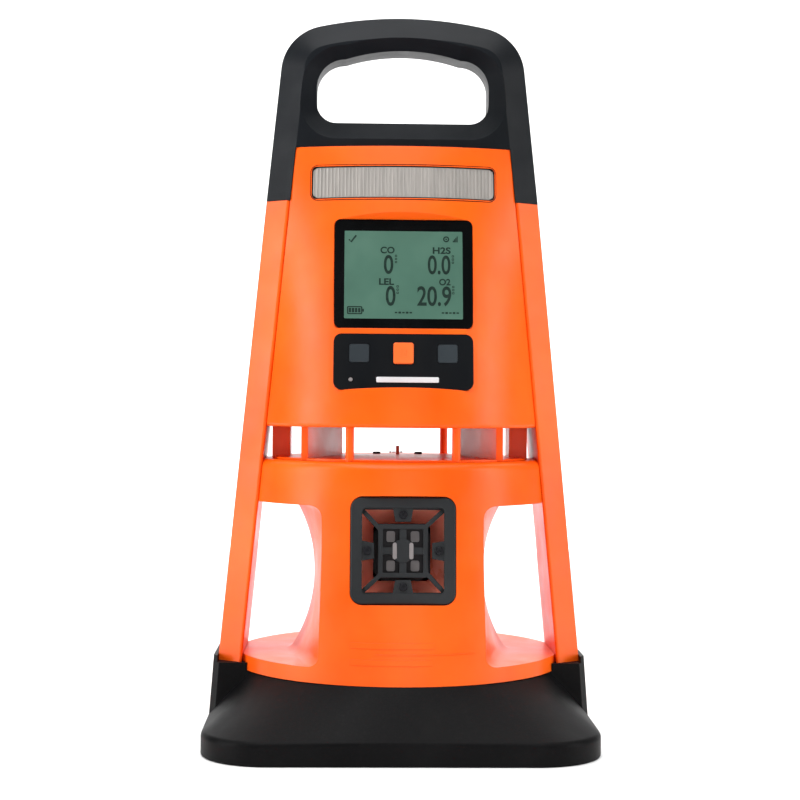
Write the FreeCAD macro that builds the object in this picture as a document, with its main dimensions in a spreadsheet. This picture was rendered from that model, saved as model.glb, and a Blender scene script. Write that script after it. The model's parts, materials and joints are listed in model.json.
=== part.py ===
"""Transportable area gas monitor: an orange obelisk casing between two side rails, on a black rubber boot.

Millimetres. +Z is up, the display faces -Y and the origin is at the middle of the boot's resting plane.
"""

import FreeCAD, Part
import math
import os
import Sketcher

from FreeCAD import Placement, Rotation, Vector

DOC = FreeCAD.newDocument("area_monitor")
SHEET = DOC.addObject("Spreadsheet::Sheet", "Dims")

DIMENSIONS = [
    # overall
    ("total_height", 552),
    ("base_side", 290),
    ("base_corner", 50),
    ("rim_height", 16),
    ("boot_wall", 5),
    ("fit_gap", 0.2),
    ("wall", 3),
    # casing: levels, half widths and half depths
    ("flange_radius", 120),
    ("flange_bottom", 52),
    ("flange_top", 63),
    ("window_top", 179),
    ("slot_bottom", 211),
    ("slot_top", 236),
    ("casing_top", 448),
    ("depth_bottom", 120),
    ("depth_slot", 98),
    ("depth_top", 46),
    ("side_depth_bottom", 30.5),
    ("seam_depth", 36),
    # side rails
    ("rail_bottom", 40),
    ("rail_top", 407.5),
    ("rail_half_width", 138),
    ("rail_reference", 57),
    ("rail_lean", 0.0968),
    ("rail_thickness", 18.5),
    ("rail_depth_bottom", 42),
    ("rail_depth_top", 37),
    ("rail_facet", 13),
    # windows beside the column
    ("column_front", 58.6),
    ("column_waist", 65.6),
    ("column_head", 81),
    ("column_foot", 84),
    ("window_corner", 8),
    # handle
    ("handle_depth_top", 23),
    ("crown_radius", 300),
    ("handle_corner", 38),
    ("grip_bottom", 470),
    ("grip_top", 526),
    ("grip_half_width", 66.4),
    ("grip_flare", 6),
    # inclined fittings on the front
    ("panel_tilt", 13.2),
    ("horn_tilt", 7),
    ("panel_setback", 9),
    ("display_width", 103),
    ("display_height", 84),
    ("display_level", 350.4),
    ("display_corner", 5),
    ("lcd_width", 88),
    ("lcd_height", 66.4),
    ("keypad_width", 103),
    ("keypad_height", 42),
    ("keypad_level", 284.5),
    ("keypad_corner", 6),
    ("button_width", 14.4),
    ("button_height", 13.8),
    ("power_width", 14.8),
    ("button_spacing", 32.6),
    ("button_rise", 6.4),
    ("light_radius", 1.5),
    ("light_offset", 38.8),
    ("light_drop", 13.6),
    ("beacon_width", 138.5),
    ("beacon_height", 25),
    ("beacon_level", 419.9),
    ("beacon_corner", 3.6),
    ("beacon_setback", 3.5),
    # horn
    ("horn_level", 148),
    ("horn_setback", 5),
    ("bezel_side", 76),
    ("bezel_corner", 9),
    ("bezel_bar", 8),
    ("bezel_extra", 1.6),
    ("bezel_thickness", 5),
    ("horn_pitch", 26),
    ("horn_inner", 36),
    ("hub_radius", 8.5),
    ("driver_radius", 25),
    # rear service parts
    ("door_width", 84),
    ("door_height", 92),
    ("door_level", 136),
    ("door_inset", 5.6),
    ("jack_radius", 4),
    ("jack_length", 14),
    ("jack_level", 197.5),
    ("jack_flange", 12),
    ("cap_radius", 9.5),
    ("hinge_rise", 13.5),
    ("battery_width", 68),
    ("battery_height", 78),
    ("battery_depth", 44),
    # slot between the casings
    ("deck_thickness", 1.4),
    ("post_radius", 3.1),
    ("post_spacing", 39),
    # inside
    ("sensor_radius", 13),
    ("sensor_height", 20),
    ("board", 1.6),
    # fasteners
    ("screw_head", 3.2),
    ("screw_shank", 1.7),
]

PARTS = []


def fill_sheet():
    """One row a dimension: its name in column A, its value in column B under the alias."""
    for row, (name, value) in enumerate(DIMENSIONS, start=1):
        SHEET.set(f"A{row}", name)
        SHEET.set(f"B{row}", str(value))
        SHEET.setAlias(f"B{row}", name)
    DOC.recompute()


def dim(name):
    return float(SHEET.get(name))


# ---------------------------------------------------------------- document helpers


def keep(obj, label):
    """Marks obj as a sub-part that is written under its label."""
    obj.Label = label
    PARTS.append(obj)
    return obj


def add_shape(label, shape, placement=None):
    """A Part::Feature for the forms that no parametric feature makes."""
    obj = DOC.addObject("Part::Feature", label)
    obj.Shape = shape
    if placement is not None:
        obj.Placement = placement
    return keep(obj, label)


def bind(obj, **expressions):
    """Binds each property to a sheet expression, such as Length='Dims.wall * 2'."""
    for name, text in expressions.items():
        obj.setExpression(name, text)
    return obj


def tilted(depth, level, tilt, side=-1, across=0.0):
    """Placement whose +Z points out of the leaning front (side -1) or rear (side 1) face."""
    turn = Rotation(Vector(1, 0, 0), 90 - tilt)
    if side > 0:
        turn = Rotation(Vector(0, 0, 1), 180).multiply(turn)
    return Placement(Vector(across, side * depth, level), turn)


def plane_of(body, role):
    return [f for f in body.Origin.OriginFeatures if f.Role == role][0]


def corner_constraints(sketch, index, centre, signs, half, cell_names):
    """Centre and radius of one corner arc, bound to the sheet."""
    width, height, radius = cell_names
    kinds = [("DistanceX", signs[0], half[0], width), ("DistanceY", signs[1], half[1], height)]
    for kind, sign, value, cell in kinds:
        number = sketch.addConstraint(
            Sketcher.Constraint(kind, -1, 1, index, 3, sign * value)
        )
        text = f"{sign} * (({cell}) / 2 - ({radius}))"
        sketch.setExpression(f"Constraints[{number}]", text)
    number = sketch.addConstraint(Sketcher.Constraint("Radius", index, centre))
    sketch.setExpression(f"Constraints[{number}]", radius)


def rounded_sketch(body, name, width, height, radius):
    """A rounded rectangle centred on the body's XY plane; the sizes are sheet expressions."""
    sketch = body.newObject("Sketcher::SketchObject", name)
    sketch.AttachmentSupport = [(plane_of(body, "XY_Plane"), "")]
    sketch.MapMode = "FlatFace"
    w, h, r = (evaluate(text) for text in (width, height, radius))
    x, y = w / 2 - r, h / 2 - r
    quarter = math.pi / 2
    corners = [(1, 1), (-1, 1), (-1, -1), (1, -1)]
    for turn, (sx, sy) in enumerate(corners):
        circle = Part.Circle(Vector(sx * x, sy * y, 0), Vector(0, 0, 1), r)
        sketch.addGeometry(Part.ArcOfCircle(circle, turn * quarter, (turn + 1) * quarter))
    sides = [
        (Vector(x, h / 2, 0), Vector(-x, h / 2, 0)),
        (Vector(-w / 2, y, 0), Vector(-w / 2, -y, 0)),
        (Vector(-x, -h / 2, 0), Vector(x, -h / 2, 0)),
        (Vector(w / 2, -y, 0), Vector(w / 2, y, 0)),
    ]
    for start, end in sides:
        sketch.addGeometry(Part.LineSegment(start, end))
    for turn in range(4):
        sketch.addConstraint(Sketcher.Constraint("Tangent", turn, 2, turn + 4, 1))
        sketch.addConstraint(Sketcher.Constraint("Tangent", turn + 4, 2, (turn + 1) % 4, 1))
    for turn, signs in enumerate(corners):
        corner_constraints(sketch, turn, r, signs, (x, y), (width, height, radius))
    return sketch


def evaluate(text):
    """The present value of a sheet expression."""
    return float(SHEET.evalExpression(text))


def rounded_pad(name, width, height, radius, length, start="0"):
    """A PartDesign body holding one padded rounded rectangle, from start to start + length."""
    body = DOC.addObject("PartDesign::Body", name)
    sketch = rounded_sketch(body, name + "_outline", width, height, radius)
    pad = body.newObject("PartDesign::Pad", name + "_pad")
    pad.Profile = sketch
    pad.setExpression("Length", length)
    sketch.setExpression("AttachmentOffset.Base.z", start)
    body.Tip = pad
    DOC.recompute()
    return body


def rounded_pocket(body, name, width, height, radius, depth, top):
    """Cuts a rounded rectangle into the body, downwards from the level top."""
    sketch = rounded_sketch(body, name, width, height, radius)
    sketch.setExpression("AttachmentOffset.Base.z", top)
    before = body.Shape.Volume
    pocket = body.newObject("PartDesign::Pocket", name + "_cut")
    pocket.Profile = sketch
    pocket.setExpression("Length", depth)
    body.Tip = pocket
    DOC.recompute()
    if body.Shape.Volume > before - 1e-3:
        raise RuntimeError(f"{name} cuts nothing")
    return body


# ---------------------------------------------------------------- forms shared by the pieces


def rail_outer(z):
    """Half width of the assembly over the side rails."""
    return dim("rail_half_width") - dim("rail_lean") * (z - dim("rail_reference"))


def rail_inner(z):
    return rail_outer(z) - dim("rail_thickness")


def rail_depth(z):
    """Half depth of a rail at its crease; the handle takes over above the rails and leans in more."""
    top = dim("rail_top")
    if z <= top:
        share = (z - dim("rail_reference")) / (top - dim("rail_reference"))
        return dim("rail_depth_bottom") + share * (dim("rail_depth_top") - dim("rail_depth_bottom"))
    share = (z - top) / (dim("total_height") - top)
    return dim("rail_depth_top") + share * (dim("handle_depth_top") - dim("rail_depth_top"))


def front_depth(z):
    """Half depth of the casing on its centre line: a parabola through its three known levels."""
    low, mid, high = dim("flange_bottom"), dim("slot_top"), dim("casing_top")
    d0, d1, d2 = dim("depth_bottom"), dim("depth_slot"), dim("depth_top")
    slope = (d1 - d0) / (mid - low)
    bend = ((d2 - d1) / (high - mid) - slope) / (high - low)
    return d0 + slope * (z - low) + bend * (z - low) * (z - mid)


def side_depth(z):
    """Half depth of the casing where it meets the rails."""
    low = dim("flange_bottom")
    share = max(0.0, min(1.0, (z - low) / (dim("slot_bottom") - low)))
    base = dim("side_depth_bottom")
    return base + share ** 0.5 * (rail_depth(z) - 1 - base)


def casing_wire(z, inset=0.0):
    """Level outline of the casing: a bowed front and rear between two straight sides."""
    x = rail_inner(z) - dim("fit_gap") - inset
    side, front = side_depth(z) - inset, front_depth(z) - inset
    corners = [Vector(-x, -side, z), Vector(x, -side, z), Vector(x, side, z), Vector(-x, side, z)]
    edges = [
        Part.Arc(corners[0], Vector(0, -front, z), corners[1]).toShape(),
        Part.makeLine(corners[1], corners[2]),
        Part.Arc(corners[2], Vector(0, front, z), corners[3]).toShape(),
        Part.makeLine(corners[3], corners[0]),
    ]
    return Part.Wire(edges)


def casing_loft(low, high, inset=0.0, steps=4):
    levels = [low + (high - low) * i / steps for i in range(steps + 1)]
    return Part.makeLoft([casing_wire(z, inset) for z in levels], True, False)


def polygon_wire(points):
    return Part.makePolygon(points + points[:1])


def box_between(low, high):
    size = high - low
    return Part.makeBox(size.x, size.y, size.z, low)


def mirrored_x(shape):
    return shape.mirror(Vector(0, 0, 0), Vector(1, 0, 0))


def edges_where(shape, test):
    """The edges whose middle point passes the test."""
    found = []
    for edge in shape.Edges:
        if test(edge.valueAt((edge.FirstParameter + edge.LastParameter) / 2), edge):
            found.append(edge)
    return found


def rounded_prism(width, height, radius, low, high, placement):
    """A rounded rectangle extruded along the placement's Z, for cutting pockets."""
    x, y = width / 2, height / 2
    block = box_between(Vector(-x, -y, low), Vector(x, y, high))
    upright = edges_where(block, lambda p, e: abs(p.z - (low + high) / 2) < 1e-6)
    block = block.makeFillet(radius, upright)
    block.Placement = placement
    return block


# ---------------------------------------------------------------- boot


def square_wire(side, corner, z, circle_radius=None):
    """Rounded square with eight edges, or the circle that its eight corners' directions divide."""
    half = side / 2
    straight = half - corner
    edges = []
    if circle_radius is None:
        for quarter in range(4):
            turn = Rotation(Vector(0, 0, 1), -90 * quarter)
            start = turn.multVec(Vector(-straight, half, z))
            end = turn.multVec(Vector(straight, half, z))
            diagonal = straight + corner * math.sqrt(0.5)
            middle = turn.multVec(Vector(diagonal, diagonal, z))
            after = turn.multVec(Vector(half, straight, z))
            edges.append(Part.makeLine(start, end))
            edges.append(Part.Arc(end, middle, after).toShape())
        return Part.Wire(edges)
    share = math.degrees(math.atan2(straight, half))
    for quarter in range(4):
        stops = [90 + share - 90 * quarter, 90 - share - 90 * quarter, share - 90 * quarter]
        for begin, finish in zip(stops, stops[1:]):
            ring = [polar(circle_radius, a, z) for a in (begin, (begin + finish) / 2, finish)]
            edges.append(Part.Arc(*ring).toShape())
    return Part.Wire(edges)


def polar(radius, degrees, z=0.0):
    angle = math.radians(degrees)
    return Vector(radius * math.cos(angle), radius * math.sin(angle), z)


def skirt(inset, low, high):
    """The flared skirt with its upright rim, drawn in by inset."""
    side, corner = dim("base_side") - 2 * inset, dim("base_corner") - inset
    rim, top = dim("rim_height"), dim("flange_bottom")
    foot = Part.Face(square_wire(side, corner, low)).extrude(Vector(0, 0, rim - low))
    ring = square_wire(side, corner, high, dim("flange_radius") - inset)
    flare = Part.makeLoft([square_wire(side, corner, rim), ring], True, True)
    return foot.fuse(flare).removeSplitter() if high == top else foot.fuse(flare)


def ear(side):
    """The block on the boot that wraps the foot of a side rail."""
    low, high, proud = 8.0, 62.5, 2.7
    inner, depth = dim("rail_half_width") - 30, 44.5
    lean, ledge = 0.075, 57.7

    def level(z):
        outer = dim("rail_half_width") + proud - lean * (z - high)
        facet = 9
        return polygon_wire([
            Vector(inner, -depth, z),
            Vector(outer - 5, -depth, z),
            Vector(outer, -depth + facet, z),
            Vector(outer, depth - facet, z),
            Vector(outer - 5, depth, z),
            Vector(inner, depth, z),
        ])

    block = Part.makeLoft([level(low), level(high)], True, True)
    for end in (-1, 1):
        y0, y1 = sorted((end * 28, end * 60))
        above = Vector(rail_outer(ledge) - 0.5, y1, high + 1)
        block = block.cut(box_between(Vector(inner - 1, y0, ledge), above))
    return block if side > 0 else mirrored_x(block)


def rail_solid(low, high, inset=0.0, side=1):
    """A side rail as a leaning bar with a facet along each outer edge."""

    def level(z):
        inner, outer = rail_inner(z) + inset, rail_outer(z) - inset
        deep = rail_depth(z) - inset
        shallow = deep - dim("rail_facet")
        return polygon_wire([
            Vector(inner, -deep, z),
            Vector(outer, -shallow, z),
            Vector(outer, shallow, z),
            Vector(inner, deep, z),
        ])

    bar = Part.makeLoft([level(low), level(high)], True, True)
    return bar if side > 0 else mirrored_x(bar)


def base_boot():
    wall, gap = dim("boot_wall"), dim("fit_gap")
    top = dim("flange_bottom")
    outer = skirt(0, 0, top)
    rim_edges = edges_where(outer, lambda p, e: abs(p.z - dim("rim_height")) < 0.01)
    outer = outer.makeFillet(5, rim_edges)
    foot_edges = edges_where(outer, lambda p, e: abs(p.z) < 0.01)
    outer = outer.makeFillet(1.5, foot_edges)
    for side in (-1, 1):
        outer = outer.fuse(ear(side))
    hollow = skirt(wall, -0.1, top + 0.1)
    solid = outer.cut(hollow)
    solid = solid.cut(casing_loft(top, 70, -0.4, 1))
    for side in (-1, 1):
        solid = solid.cut(rail_solid(dim("rail_bottom") - gap, 70, -gap, side))
    return solid


def pan_plate():
    """Plate that closes the boot from below, with recesses for its screws."""
    clearance = dim("boot_wall") + dim("fit_gap")
    side, corner = dim("base_side") - 2 * clearance, dim("base_corner") - clearance
    plate = Part.Face(square_wire(side, corner, 3)).extrude(Vector(0, 0, 4))
    for spot in PAN_SCREWS:
        plate = plate.cut(Part.makeCylinder(dim("screw_head") + 0.3, 2, Vector(spot.x, spot.y, 3)))
        plate = plate.cut(Part.makeCylinder(dim("screw_shank") + 0.1, 9, Vector(spot.x, spot.y, 2)))
    return plate


PAN_SCREWS = [Vector(sx * 118, sy * 118, 0) for sx in (-1, 1) for sy in (-1, 1)]
PAN_SCREWS += [Vector(0, sy * 128, 0) for sy in (-1, 1)]


def screw(head_height, length):
    """Pan-head screw along +Z: the head's top face is at its highest point, the tip at zero."""
    head = Part.makeCylinder(dim("screw_head"), head_height, Vector(0, 0, length))
    head = head.makeFillet(0.8, edges_where(head, lambda p, e: p.z > length + head_height - 0.01))
    shank = Part.makeCylinder(dim("screw_shank"), length + 0.5)
    socket = Part.makeBox(2.6, 0.9, 1.2, Vector(-1.3, -0.45, length + head_height - 1.2))
    cross = Part.makeBox(0.9, 2.6, 1.2, Vector(-0.45, -1.3, length + head_height - 1.2))
    return head.fuse(shank).cut(socket.fuse(cross))


def screw_group(placements, head_height=2.0, length=6.0):
    made = []
    for placement in placements:
        one = screw(head_height, length)
        one.Placement = placement
        made.append(one)
    return Part.makeCompound(made)


def facing(point, direction):
    """Placement at point whose +Z runs along direction."""
    return Placement(point, Rotation(Vector(0, 0, 1), direction))


def build_base():
    add_shape("base_boot", base_boot())
    add_shape("base_pan", pan_plate())
    spots = [facing(Vector(p.x, p.y, 11), Vector(0, 0, -1)) for p in PAN_SCREWS]
    add_shape("base_pan_screws", screw_group(spots, 1.6, 6.0))


# ---------------------------------------------------------------- rails and casing


def build_rails():
    low, high, gap = dim("rail_bottom"), dim("rail_top"), dim("fit_gap")
    for side, label in ((-1, "left_side_rail"), (1, "right_side_rail")):
        outer = rail_solid(low, high - gap, 0, side)
        ridges = edges_where(outer, lambda p, e: e.Length > 200)
        outer = outer.makeFillet(1.6, ridges)
        add_shape(label, outer.cut(rail_solid(low - 1, high - 6, 3.5, side)))


def window_tool(offset, side=1):
    """Cutter for the opening beside the column, ruled from a straight front edge to a bowed middle."""
    low, high = dim("flange_top") - offset, dim("window_top") + offset
    reach, middle = 140.0, (low + high) / 2
    outer = 150.0

    def level(y, head, waist, foot):
        top = Vector(head - offset, y, high)
        bottom = Vector(foot - offset, y, low)
        return Part.Wire([
            Part.Arc(bottom, Vector(waist - offset, y, middle + 4), top).toShape(),
            Part.makeLine(top, Vector(outer, y, high)),
            Part.makeLine(Vector(outer, y, high), Vector(outer, y, low)),
            Part.makeLine(Vector(outer, y, low), bottom),
        ])

    head, waist, foot = dim("column_head"), dim("column_waist"), dim("column_foot")
    front = dim("column_front")

    def reached(value, depth):
        """Value at the cutter's end, so that it passes the column's front width at that depth."""
        return value + (front - value) * reach / depth

    ends = reached(head, 95), reached(waist, 108), reached(foot, 112)
    halves = []
    for y in (-reach, reach):
        halves.append(Part.makeLoft([level(y, *ends), level(0, head, waist, foot)], True, True))
    halves = [h.makeFillet(dim("window_corner"), edges_where(h, long_inner_edge)) for h in halves]
    tool = halves[0].fuse(halves[1])
    return tool if side > 0 else mirrored_x(tool)


def long_inner_edge(point, edge):
    """The two edges of a half cutter that run from front to middle at the column's side."""
    return 60 < abs(point.y) < 80 and point.x < 100 and edge.Length > 100


def horn_place(offset=0.0):
    """Placement on the horn bezel's back plane, or offset along its outward normal."""
    level = dim("horn_level")
    place = tilted(front_depth(level) - dim("horn_setback"), level, dim("horn_tilt"))
    return place.multiply(Placement(Vector(0, 0, offset - dim("bezel_thickness")), Rotation()))


def panel_place(level, offset=0.0):
    """Placement on the flat of the display and keypad, at a level on the leaning plane."""
    middle = dim("display_level")
    tilt = math.radians(dim("panel_tilt"))
    depth = front_depth(middle) - dim("panel_setback") - (level - middle) * math.tan(tilt)
    place = tilted(depth, level, dim("panel_tilt"))
    return place.multiply(Placement(Vector(0, 0, offset), Rotation()))


def beacon_place(side, offset=0.0):
    level = dim("beacon_level")
    place = tilted(front_depth(level) - dim("beacon_setback"), level, 0, side)
    return place.multiply(Placement(Vector(0, 0, offset), Rotation()))


def door_place(offset=0.0):
    """Placement on the rear battery door's outer face."""
    level = dim("door_level")
    place = tilted(front_depth(level) - 7, level, dim("horn_tilt"), 1)
    return place.multiply(Placement(Vector(0, 0, offset), Rotation()))


def tub(width, height, low, placement, outer):
    """Solid backing behind a pocket, as far out as the casing's own surface."""
    return rounded_prism(width + 6, height + 6, 5, low, 40, placement).common(outer)


def lower_casing():
    """Flange, column and band in one hollow form, open below."""
    low, high, wall = dim("flange_bottom"), dim("slot_bottom"), dim("wall")
    outer = casing_loft(low, high)
    bowed_top = edges_where(outer, lambda p, e: abs(p.z - high) < 0.1 and abs(p.y) > 60)
    outer = outer.makeFillet(7, bowed_top)
    inner = casing_loft(low - 1, high - wall, wall)
    for side in (-1, 1):
        outer = outer.cut(window_tool(0, side))
        inner = inner.cut(window_tool(wall, side))
    bezel, width, height = dim("bezel_side"), dim("door_width"), dim("door_height")
    casing = outer.cut(inner)
    casing = casing.fuse(tub(bezel, bezel, -6, horn_place(), outer))
    casing = casing.fuse(tub(width, height, -6, door_place(), outer))
    casing = casing.cut(horn_opening())
    casing = casing.cut(door_opening())
    for radius, start in ((dim("jack_flange") - 2.8, 60), (dim("jack_flange") + 0.2, jack_face() - 1.7)):
        jack = Part.makeCylinder(radius, 60, Vector(0, start, dim("jack_level")), Vector(0, 1, 0))
        casing = casing.cut(jack)
    for hole in door_screw_holes():
        casing = casing.cut(hole)
    for spot in DECK_SCREWS:
        hole = Part.makeCylinder(dim("screw_shank") + 0.1, 9, Vector(spot.x, spot.y, high - 8))
        casing = casing.cut(hole)
    return casing


def horn_opening():
    side = dim("bezel_side") + 0.6
    seat = rounded_prism(side, side + dim("bezel_extra"), dim("bezel_corner"), -0.2, 40, horn_place())
    throat = rounded_prism(side - dim("bezel_bar"), side - dim("bezel_bar"), 4, -30, 1, horn_place())
    return seat.fuse(throat)


def door_opening():
    width, height = dim("door_width") + 0.6, dim("door_height") + 0.6
    seat = rounded_prism(width, height, 6, -2.6, 40, door_place())
    hole = rounded_prism(width - 12, height - 12, 4, -40, 1, door_place())
    return seat.fuse(hole)


def build_lower_casing():
    casing = lower_casing()
    seam = dim("seam_depth")
    cutter = box_between(Vector(-200, -200, 0), Vector(200, seam, 300))
    add_shape("lower_front_casing", casing.common(cutter))
    add_shape("lower_rear_casing", casing.cut(cutter))


def upper_casing():
    """Housing of the display, beacons and sensors: hollow, with round openings in its floor."""
    low, high, wall = dim("slot_top"), dim("casing_top"), dim("wall")
    outer = casing_loft(low, high)
    bowed = edges_where(outer, lambda p, e: abs(p.z - low) < 0.1 and abs(p.y) > 60)
    outer = outer.makeFillet(2.5, bowed)
    casing = outer.cut(casing_loft(low + wall, high - wall, wall))
    width, bottom, top = panel_span()
    backing = box_between(Vector(-width / 2 - 3, bottom - 3, -5.2), Vector(width / 2 + 3, top + 11, 40))
    backing.Placement = panel_place(dim("display_level"))
    casing = casing.fuse(backing.common(outer))
    for side in (-1, 1):
        casing = casing.cut(beacon_opening(side))
    casing = casing.cut(panel_pocket())
    for spot in SENSOR_SPOTS:
        radius = dim("sensor_radius") + 0.3
        casing = casing.cut(Part.makeCylinder(radius, 10, Vector(spot.x, spot.y, low - 2)))
    return casing


def panel_span():
    """Width of the panel pocket, and its lowest and highest points above the display's middle."""
    lean = math.cos(math.radians(dim("panel_tilt")))
    drop = (dim("keypad_level") - dim("display_level")) / lean
    bottom = drop - dim("keypad_height") / 2 - 0.3
    return dim("keypad_width") + 0.6, bottom, dim("display_height") / 2 + 0.3


SENSOR_SPOTS = [Vector(sx * 22, sy * 22, 0) for sy in (-1, 1) for sx in (-1, 1)]


def beacon_opening(side):
    width, height = dim("beacon_width"), dim("beacon_height")
    return rounded_prism(width, height, dim("beacon_corner"), -20, 40, beacon_place(side))


def panel_pocket():
    """Flat-floored pocket for the display and the keypad, with a head wall that slopes under the brow."""
    width, bottom, top = panel_span()
    lip = 4.0
    place = panel_place(dim("display_level"))
    floor = box_between(Vector(-width / 2, bottom, 0), Vector(width / 2, top, 40))
    floor = floor.makeFillet(dim("keypad_corner"), edges_where(floor, lambda p, e: abs(p.z - 20) < 0.1))
    section = ((top - 1, 1), (top, 1), (top + 10, 20), (top - 1, 20))
    brow = [Vector(lip, y, z) for y, z in section]
    slope = Part.Face(polygon_wire(brow)).extrude(Vector(width - 2 * lip, 0, 0))
    slope.translate(Vector(-width / 2, 0, 0))
    pocket = floor.fuse(slope)
    pocket.Placement = place
    return pocket.fuse(panel_seat("display", lip)).fuse(panel_seat("keypad", lip))


def panel_seat(kind, lip):
    """Seat of one panel with the opening through its floor."""
    width, height = dim(kind + "_width") + 0.6, dim(kind + "_height") + 0.6
    place = panel_place(dim(kind + "_level"))
    seat = rounded_prism(width, height, dim(kind + "_corner"), -2.2, 1, place)
    return seat.fuse(rounded_prism(width - 2 * lip, height - 2 * lip, 2, -30, 1, place))


def build_upper_casing():
    casing = upper_casing()
    cutter = box_between(Vector(-200, -200, 0), Vector(200, 0, 600))
    add_shape("upper_front_casing", casing.common(cutter))
    add_shape("upper_rear_casing", casing.cut(cutter))


def build_vent_frame():
    """Thin floor with the posts, side walls and webs that carry the upper casing over the slot."""
    gap = 0.1
    low, high = dim("slot_bottom") + gap, dim("slot_top") - gap
    height = high - low
    frame = Part.Face(casing_wire(low, 9)).extrude(Vector(0, 0, dim("deck_thickness")))
    for side in (-1, 1):
        for end in (-1, 1):
            spot = Vector(side * dim("post_spacing"), end * (front_depth(high) - 14), low)
            frame = frame.fuse(Part.makeCylinder(dim("post_radius"), height, spot))
        frame = frame.fuse(vent_wall(side, low, height))
        x = side * (rail_inner(high) - 10.2)
        frame = frame.fuse(box_between(Vector(x - 7, -6, low), Vector(x + 7, 26, high)))
    frame = frame.fuse(box_between(Vector(-1.3, 52, low), Vector(1.3, 64, low + 8)))
    for spot in DECK_SCREWS:
        frame = frame.cut(Part.makeCylinder(dim("screw_shank") + 0.1, 9, Vector(spot.x, spot.y, low - 1)))
    add_shape("vent_frame", frame.removeSplitter())
    for spot, side in zip(DECK_SCREWS, ("left", "right")):
        top = low + dim("deck_thickness")
        place = Placement(Vector(spot.x, spot.y, top - 8), Rotation())
        add_shape(f"deck_screw_{side}", screw(1.8, 8.0), place)


DECK_SCREWS = [Vector(sx * 17, 60, 0) for sx in (-1, 1)]


def vent_wall(side, low, height):
    """A curved wall from the front of the slot inwards to its back."""
    points = [Vector(-75, -66, 0), Vector(-64, -12, 0), Vector(-50, 54, 0)]
    outer = Part.Arc(*points).toShape()
    inner = Part.Arc(*[p + Vector(5, 1, 0) for p in points]).toShape()
    ends = [Part.makeLine(points[0], points[0] + Vector(5, 1, 0))]
    ends.append(Part.makeLine(points[2], points[2] + Vector(5, 1, 0)))
    wire = Part.Wire(Part.__sortEdges__([outer, inner] + ends))
    wall = Part.Face(wire).extrude(Vector(0, 0, height))
    wall.translate(Vector(0, 0, low))
    return wall if side < 0 else mirrored_x(wall)


# ---------------------------------------------------------------- handle


def arch_wire(inset, depth):
    """Front outline of the handle: leaning sides, round shoulders and a bowed crown."""
    lean, top, low = dim("rail_lean"), dim("total_height") - inset, dim("rail_top")
    crown, corner = dim("crown_radius") - inset, dim("handle_corner") - inset
    foot = Vector(rail_outer(low) - inset, 0, low)
    along = Vector(-lean, 0, 1).normalize()
    inward = Vector(-1, 0, -lean).normalize()
    crown_centre = Vector(0, 0, top - crown)
    start = foot + inward * corner - crown_centre
    b, c = 2 * start.dot(along), start.dot(start) - (crown - corner) ** 2
    travel = (-b + math.sqrt(b * b - 4 * c)) / 2
    centre = foot + inward * corner + along * travel
    side_end = foot + along * travel
    crown_end = crown_centre + (centre - crown_centre).normalize() * crown
    middle = centre + ((side_end - centre) + (crown_end - centre)).normalize() * corner

    def other(p):
        return Vector(-p.x, p.y, p.z)

    edges = [
        Part.makeLine(foot, side_end),
        Part.Arc(side_end, middle, crown_end).toShape(),
        Part.Arc(crown_end, Vector(0, 0, top), other(crown_end)).toShape(),
        Part.Arc(other(crown_end), other(middle), other(side_end)).toShape(),
        Part.makeLine(other(side_end), other(foot)),
        Part.makeLine(other(foot), foot),
    ]
    wire = Part.Wire(edges)
    wire.translate(Vector(0, depth, 0))
    return wire


def grip_wire(grow, depth):
    """Outline of the hand hole, grown outwards by grow."""
    low, high = dim("grip_bottom") - grow, dim("grip_top") + grow
    wide = dim("grip_half_width") + grow
    shoulder, bow, foot = 22 + grow, 7, 15 + grow
    x1, x2 = wide - foot, wide - shoulder
    root = math.sqrt(0.5)
    a, b = Vector(x1, 0, low), Vector(wide, 0, low + foot)
    m = Vector(wide - foot * (1 - root), 0, low + foot * (1 - root))
    c = Vector(wide, 0, high - bow - shoulder)
    right_top = Vector(wide - shoulder * (1 - root), 0, high - bow - shoulder * (1 - root))
    shoulder_end = Vector(x2, 0, high - bow)

    def other(p):
        return Vector(-p.x, p.y, p.z)

    edges = [
        Part.Arc(a, m, b).toShape(),
        Part.makeLine(b, c),
        Part.Arc(c, right_top, shoulder_end).toShape(),
        Part.Arc(shoulder_end, Vector(0, 0, high), other(shoulder_end)).toShape(),
        Part.Arc(other(shoulder_end), other(right_top), other(c)).toShape(),
        Part.makeLine(other(c), other(b)),
        Part.Arc(other(b), other(m), other(a)).toShape(),
        Part.makeLine(other(a), a),
    ]
    wire = Part.Wire(edges)
    wire.translate(Vector(0, depth, 0))
    return wire


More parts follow.
